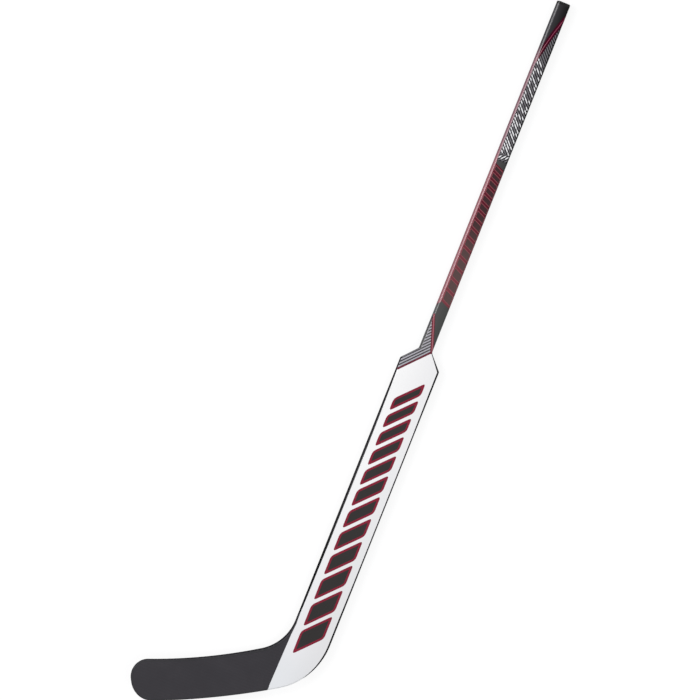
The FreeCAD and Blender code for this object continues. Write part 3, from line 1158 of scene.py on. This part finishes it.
    def print_pinstripe(self) -> None:
        """Curved pinstripe with a lighter middle."""
        path = self.pin_path()
        fade = (self.neck + self.pin_fade[0], self.neck + self.pin_fade[1])
        core = ink("fading_red", paint(180, 130, 139), paint(158, 66, 94), mottle=0.1, fade=fade)
        tip = (self.neck + self.pin_tip[0], self.pin_tip[1])
        edges = [clip(outline, tip, TO_HEEL) for outline in ribbon(path, self.pin_width)]
        edges = [clip(outline, tip, self.pin_tip_across) for outline in edges]
        edges = [outline for outline in edges if len(outline) > 2]
        self.round_print("shaft_pinstripe", edges, Stock.DEEP_RED, 3)
        self.round_print("shaft_pinstripe_middle", ribbon(path, self.pin_core), core, 4)

    def round_print(self, name: str, outlines: list[Outline], finish: Finish, layer: int) -> None:
        """Lay a print round the shaft."""
        Print(name, outlines, finish, layer, Lay.ROUND_SHAFT, self.bend_step).build(self.surface)


@dataclass
class Shoulder:
    """Sloping edge between paddle and shaft on one side."""

    side: float                      # 1 for the toe side, -1 for the heel side
    rise: float = 0.032
    roll: tuple[float, ...] = (0.0008, 0.0013, 0.0019, 0.0026, 0.0035)     # bends over its rounded edge

    def __post_init__(self) -> None:
        """Find the slope from the frame."""
        shaft_low, shaft_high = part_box("shaft_tube")
        half_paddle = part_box("paddle_edge_toe_side")[1].y
        self.low = (shaft_low.x - self.rise, self.side * half_paddle)
        self.high = (shaft_low.x, self.side * shaft_high.y)
        run, drop = self.rise, half_paddle - shaft_high.y
        length = math.hypot(run, drop)
        self.along = (run / length, -self.side * drop / length)
        self.inward = (-drop / length, -self.side * run / length)

    def inset(self, distance: float, across: float) -> Spot:
        """Spot at a distance inside the slope and at a given distance from the shaft's middle line.

        Args:
            distance: Distance inside the slope's edge.
            across: Distance from the middle line.

        Returns:
            The spot.
        """
        x, y = moved(self.high, self.inward, distance)
        slide = (self.side * across - y) / self.along[1]
        return (x + self.along[0] * slide, self.side * across)

    def bends(self) -> list[Cut]:
        """Cuts along the slope that let a print follow its rounded edge."""
        return [(moved(self.high, self.inward, deep), self.inward) for deep in self.roll]

    def side_bends(self) -> list[Cut]:
        """Cuts along the paddle's side that let a print follow its rounded edge."""
        return [((0.0, self.low[1] - self.side * deep), TO_TOE) for deep in self.roll]


@dataclass
class Neck:
    """Printed wedge where paddle and shaft meet: two red lines with grey stripes between them."""

    surface: Surface
    bend_step: float = 0.0010        # width of the strips in which prints bend over the neck
    panel_drop: float = 0.0582       # toe-side end of the panel's border, below the neck
    panel_gap: float = 0.0019        # from the paddle's side to that end
    side_gap: float = 0.0005         # from the paddle's side to the ends of ground and stripes
    slope_gap: float = 0.00035       # the same from the shoulder's edge
    shaft_gap: float = 0.0024        # the same from the shaft's toe side
    foot_gap: float = 0.0003         # from the neck's heel-side corner to where both lines start
    ground_rise: float = 0.0008      # how far the ground runs up the shaft
    ground_gap: float = 0.0004       # from the shaft's heel side to the ground there
    stripe_rise: float = 0.0010      # where the stripes pass from the shoulder to the shaft, above the neck
    line_rise: float = 0.078         # toe-side end of the upper line, above the neck
    line_gap: float = 0.0006         # from the shaft's toe side to that end
    line_lead: float = 0.006         # how far the line runs on above the stripes
    border: float = 0.0036           # width of the panel's border line
    line: float = 0.0064             # width of the upper line
    line_shift: float = 0.0005       # how far its middle lies to the toe side of its lighter core
    line_core: float = 0.0024
    pitch: float = 0.00532
    stripe: float = 0.0027
    first_stripe: float = 0.0056     # from the panel's edge to the middle of the first stripe
    count: int = 13

    def build(self) -> None:
        """Lay the wedge's ground, stripes and lines."""
        neck, half_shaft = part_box("shaft_tube")[0].x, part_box("shaft_tube")[1].y
        half_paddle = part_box("paddle_edge_toe_side")[1].y
        side, shaft_side = half_paddle - self.side_gap, half_shaft - self.shaft_gap
        toe_end = (neck - self.panel_drop, half_paddle - self.panel_gap)
        foot = (neck - self.foot_gap, -half_shaft + self.foot_gap)
        tip = (neck + self.line_rise, half_shaft - self.line_gap)
        run, rise = foot[0] - toe_end[0], foot[1] - toe_end[1]
        length = math.hypot(run, rise)
        along, left = (run / length, rise / length), (-rise / length, run / length)
        outer = (toe_end[0] + (side - toe_end[1]) * run / rise, side)
        shoulder = [Shoulder(1.0).inset(self.slope_gap, across) for across in (half_shaft, side)]
        top = neck + self.ground_rise
        ground = [outer, foot, (top, -half_shaft + self.ground_gap), (top, shaft_side), *shoulder]
        region = [outer, foot, tip, (tip[0] - self.line_lead, shaft_side),
                  (neck + self.stripe_rise, shaft_side), *shoulder]
        first = moved(toe_end, left, self.first_stripe)
        found = stripes(region, first, along, self.pitch, self.stripe, self.count)
        border = [moved(end, left, self.border / 2) for end in (toe_end, foot)]
        line = [moved(end, TO_TOE, self.line_shift) for end in (foot, tip)]
        self.lay("neck_ground", [ground], Stock.GROUND, 1, "shaft_laminate")
        self.lay("neck_stripes", found, Stock.GREY, 2)
        self.lay("panel_border_line", ribbon(border, self.border), Stock.DARK_RED, 3)
        self.lay("neck_line", ribbon(line, self.line), Stock.DARK_RED, 4)
        self.lay("neck_line_middle", ribbon([foot, tip], self.line_core), Stock.RED, 5)

    def lay(self, name: str, outlines: list[Outline], finish: Finish, layer: int, slot: str = "") -> None:
        """Lay a print over the neck."""
        bends = Shoulder(1.0).bends() + Shoulder(1.0).side_bends()
        Print(name, outlines, finish, layer, Lay.FRONT, self.bend_step, slot, bends).build(self.surface)


@dataclass
class Paddle:
    """White paddle with its edge strips, and the row of slanted bars printed on it."""

    surface: Surface
    row_low: float = 0.059
    row_high: float = 0.633
    bars: int = 12
    shrink: float = 0.945
    gap: float = 0.0100
    half_bar: float = 0.0255
    centre: float = 0.0005           # middle line of the bars, off the shaft's
    border: float = 0.0046
    corner: float = 0.0080
    slant: float = -1.046
    back_pitch: float = 0.055        # pitch of the bars on the back face
    back_share: float = 0.8          # share of it that a bar takes
    strip_pale: float = 0.20         # height from which the toe-side strip gets paler
    strip_pale_run: float = 0.30
    shoulder_rise: float = 0.0015    # from the shoulder's lower end to where its grey starts
    bend_step: float = 0.0005        # width of the strips in which the paint bends over the edges
    rim_bevel: float = 0.0022        # bevel of the blade's rim, which runs on into the toe-side strip
    tip_step: float = 0.0001         # paint bends this far on both sides of the seam between them
    tip_edge: float = 0.0412         # edge of the paint at that seam
    rim_edge: tuple[Spot, ...] = (   # edge of the paint over the rim, from the joint with the blade upwards
        (-0.047, 0.0459), (0.030, 0.0437), (0.070, 0.0425), (0.086, 0.0413), (0.095, 0.0406), (0.101, 0.0409))
    toe_edge: tuple[Spot, ...] = (   # its edge over the toe-side strip, upwards
        (0.150, 0.0407), (0.215, 0.0403), (0.275, 0.0398), (0.485, 0.0397), (0.565, 0.0402), (0.6641, 0.0416))
    toe_inside: tuple[Spot, ...] = ((0.6690, 0.0379), (0.120, 0.0379), (-0.047, 0.0445))
    heel_foot: Spot = (0.125, -0.0378)
    heel_slope: tuple[Spot, ...] = ((0.0015, 0.0132), (0.0042, 0.0386))     # its edge along the shoulder
    heel_slope_inside: Spot = (0.0055, 0.0378)
    heel_top: Spot = (0.7170, -0.0080)
    heel_edge: tuple[Spot, ...] = (  # its edge over the heel-side strip, downwards
        (0.640, -0.0388), (0.540, -0.0396), (0.300, -0.0396), (0.200, -0.0392), (0.125, -0.0386))

    def build(self) -> None:
        """Dress the paddle and lay its prints."""
        white, black = Stock.WHITE_PAINT, Stock.STRIP
        bars = BackBars(Stock.CHARCOAL.colour, self.back_pitch, self.back_share, self.slant, self.row_low,
                        self.row_high, self.half_bar)
        back = ZonedFinish(
            "white_back_paint", white.colour, white.shade, 0.36, coat=0.15, bars=bars, scuffs=0.08)
        pale, grey = paint(54, 53, 56), paint(172, 170, 175)
        zones = (
            Zone(self.strip_pale, pale, pale, run=self.strip_pale_run),
            Zone(Shoulder(1.0).low[0] + self.shoulder_rise, grey, grey))
        strip = ZonedFinish(
            "edge_strip_toe_side", black.colour, black.shade, 0.62, specular=0.0, coat=0.15,
            coat_roughness=0.3, stretch=6.0, painted_side_shade=0.35, side_rough=0.25, zones=zones)
        dress(white, "paddle_front_skin")
        dress(back, "paddle_back_skin")
        dress(strip, "paddle_edge_toe_side")
        dress(black, "paddle_edge_heel_side")
        dress(Stock.HEEL, "heel_block")
        self.print_bars()
        self.print_edges()

    def print_bars(self) -> None:
        """Row of slanted bars with red borders, shorter towards the shoulders."""
        borders, fills = [], []
        bottom, top = self.centre - self.half_bar, self.centre + self.half_bar
        for low, length in bar_row(self.row_low, self.row_high, self.bars, self.shrink, self.gap):
            bar = (low, length, bottom, top, self.slant)
            borders.append(rounded(slanted_bar(*bar), self.corner))
            fills.append(rounded(slanted_bar(*bar, self.border), self.corner - self.border))
        Print("paddle_bar_borders", borders, Stock.LINE_RED, 1).build(self.surface)
        Print("paddle_bars", fills, Stock.CHARCOAL, 2).build(self.surface)

    def print_edges(self) -> None:
        """White paint that runs over the edge strips, up to a thin dark line along each edge."""
        strip_low, strip_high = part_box("paddle_edge_toe_side")
        toe = [*self.rim_edge, (strip_low.x, self.tip_edge), *self.toe_edge, *self.toe_inside]
        seam = [((0.0, strip_high.y - self.rim_bevel), TO_TOE)]
        seam += [((strip_low.x + shift, 0.0), UP) for shift in (-self.tip_step, self.tip_step)]
        self.lay("paddle_paint_toe_side", toe, seam)
        slope = Shoulder(-1.0)
        slope_edge = [slope.inset(*spot) for spot in self.heel_slope]
        inside = [self.heel_foot, slope.inset(*self.heel_slope_inside), self.heel_top]
        self.lay("paddle_paint_heel_side", [*inside, *slope_edge, *self.heel_edge], slope.bends())

    def lay(self, name: str, outline: Outline, bends: list[Cut]) -> None:
        """Lay white paint over an edge."""
        paint_film = Print(
            name, [outline], Stock.WHITE_PAINT, 1, Lay.FRONT, self.bend_step, "paddle_laminate", bends)
        paint_film.build(self.surface)


@dataclass
class Blade:
    """Curved blade: twill laminate faces in a resin rim."""

    def build(self) -> None:
        """Dress the blade."""
        dress(Stock.BLADE, "blade_front_skin", "blade_back_skin")
        dress(Stock.RIM, "blade_edge")


@dataclass
class Core:
    """Pieces inside the stick."""

    def build(self) -> None:
        """Dress the inner pieces."""
        dress(Stock.FOAM, "shaft_damper", "paddle_foam_toe_side", "paddle_foam_middle",
              "paddle_foam_heel_side", "blade_foam_upper", "blade_foam_lower")
        dress(Stock.WOOD, "neck_tenon")
        dress(Stock.WEB, "paddle_rib_toe_side", "paddle_rib_heel_side", "blade_rib")


@dataclass(frozen=True)
class Softbox:
    """Square softbox that faces the middle of the stick."""

    name: str
    offset: tuple[float, float, float]         # where it hangs, from that middle
    size: float
    power: float                     # in watts

    def hang(self, aim: Vector) -> None:
        """Hang the softbox.

        Args:
            aim: Point that it faces.
        """
        light = bpy.data.lights.new(self.name, "AREA")
        light.size = self.size
        light.energy = self.power
        lamp = show(self.name, light)
        lamp.location = aim + Vector(self.offset)
        lamp.rotation_euler = (aim - lamp.location).to_track_quat("-Z", "Y").to_euler()


@dataclass
class Studio:
    """Pale floor, soft lights and the camera."""

    softboxes: tuple[Softbox, ...] = (
        Softbox("key_light", (0.35, 2.3, 1.9), 1.6, 44.0),
        Softbox("fill_light", (-0.8, -2.0, 2.0), 2.0, 10.0))
    distance: float = 10.0
    view_width: float = 1.4527       # width of the picture at the stick
    tilt_to_toe: float = 0.1299      # lean of the view from straight above, as a slope
    tilt_to_butt: float = 0.0311
    roll: float = math.radians(21.706)
    aim_shift: tuple[float, float, float] = (-0.00226, 0.00693, 0.0)
    sensor: float = 36.0
    sight: float = 240.0             # how far the camera sees
    floor_half: float = 60.0
    floor_drop: float = 0.0006
    floor_patch: float = 3.0         # faint patches per metre
    floor_glow: float = 0.82         # what the floor adds for the camera and reflections
    daylight: float = 0.62           # strength of the even light on the object

    def build(self) -> None:
        """Set up the whole studio."""
        bpy.context.scene.view_settings.view_transform = "Standard"
        self.floor()
        self.world()
        centre = (CAD_BOX[0] + CAD_BOX[1]) / 2
        for softbox in self.softboxes:
            softbox.hang(centre)
        self.camera(centre + Vector(self.aim_shift))

    def floor(self) -> None:
        """Lay a white floor that shows as white where nothing shades it."""
        mesh = bpy.data.meshes.new("floor")
        half, level = self.floor_half, CAD_BOX[0].z - self.floor_drop
        corners = [(-half, -half, level), (half, -half, level), (half, half, level), (-half, half, level)]
        mesh.from_pydata(corners, [], [(0, 1, 2, 3)])
        made = bpy.data.materials.new("floor_white")
        bench = Bench.cleared(made)
        patches = bench.noise(bench.place(), self.floor_patch)
        colour = bench.blend(patches, paint(132, 132, 133), paint(136, 136, 137))
        diffuse = bench.put("ShaderNodeBsdfDiffuse", {"Color": colour})
        strength = bench.math("MULTIPLY", self.seen(bench), self.floor_glow)
        glow = bench.put("ShaderNodeEmission", {"Color": WHITE_LIGHT, "Strength": strength})
        both = bench.put("ShaderNodeAddShader", {0: diffuse.outputs[0], 1: glow.outputs[0]})
        bench.put("ShaderNodeOutputMaterial", {"Surface": both.outputs[0]})
        mesh.materials.append(made)
        show("floor", mesh)

    def seen(self, bench: Bench) -> Socket:
        """1 for rays from the camera, a reflection or a clear piece, and 0 for light on the object.

        Args:
            bench: Bench of the floor's or the world's nodes.

        Returns:
            The value's socket.
        """
        path = bench.put("ShaderNodeLightPath")
        seen = bench.math("MAXIMUM", path.outputs["Is Camera Ray"], path.outputs["Is Glossy Ray"])
        return bench.math("MAXIMUM", seen, path.outputs["Is Transmission Ray"])

    def world(self) -> None:
        """Even soft light from all round, which the camera and reflections see as white."""
        world = bpy.data.worlds.new("studio")
        bpy.context.scene.world = world
        bench = Bench.cleared(world)
        strength = bench.math("MULTIPLY_ADD", self.seen(bench), 1.0 - self.daylight, self.daylight)
        sky = bench.put("ShaderNodeBackground", {"Color": WHITE_LIGHT, "Strength": strength})
        bench.put("ShaderNodeOutputWorld", {"Surface": sky.outputs[0]})

    def camera(self, aim: Vector) -> None:
        """Set the camera almost straight above the front face, rolled as the picture is.

        Args:
            aim: Point in the middle of the picture.
        """
        back = Vector((self.tilt_to_butt, self.tilt_to_toe, 1.0)).normalized()
        upright = (Vector((1.0, 0.0, 0.0)) - back * back.x).normalized()
        up = upright * math.cos(self.roll) + back.cross(upright) * math.sin(self.roll)
        right = up.cross(back)
        data = bpy.data.cameras.new("camera")
        data.sensor_width = self.sensor
        data.lens = self.sensor * self.distance / self.view_width
        data.clip_end = self.sight
        camera = show("camera", data)
        turn = Matrix((right, up, back)).transposed().to_4x4()
        camera.matrix_world = Matrix.Translation(aim + back * self.distance) @ turn
        bpy.context.scene.camera = camera


def main() -> None:
    """Dress the stick, lay its prints and set up the studio."""
    logging.basicConfig(level=logging.INFO, format="%(name)s: %(message)s")
    surface = Surface(["shaft_tube", "butt_plug", "paddle_front_skin", "paddle_edge_toe_side",
                       "paddle_edge_heel_side", "blade_front_skin", "blade_edge"])
    for assembly in (Core(), Blade(), Paddle(surface), Shaft(surface), Neck(surface), Studio()):
        LOG.info("building %s", type(assembly).__name__)
        assembly.build()


if __name__ == "__main__":
    main()
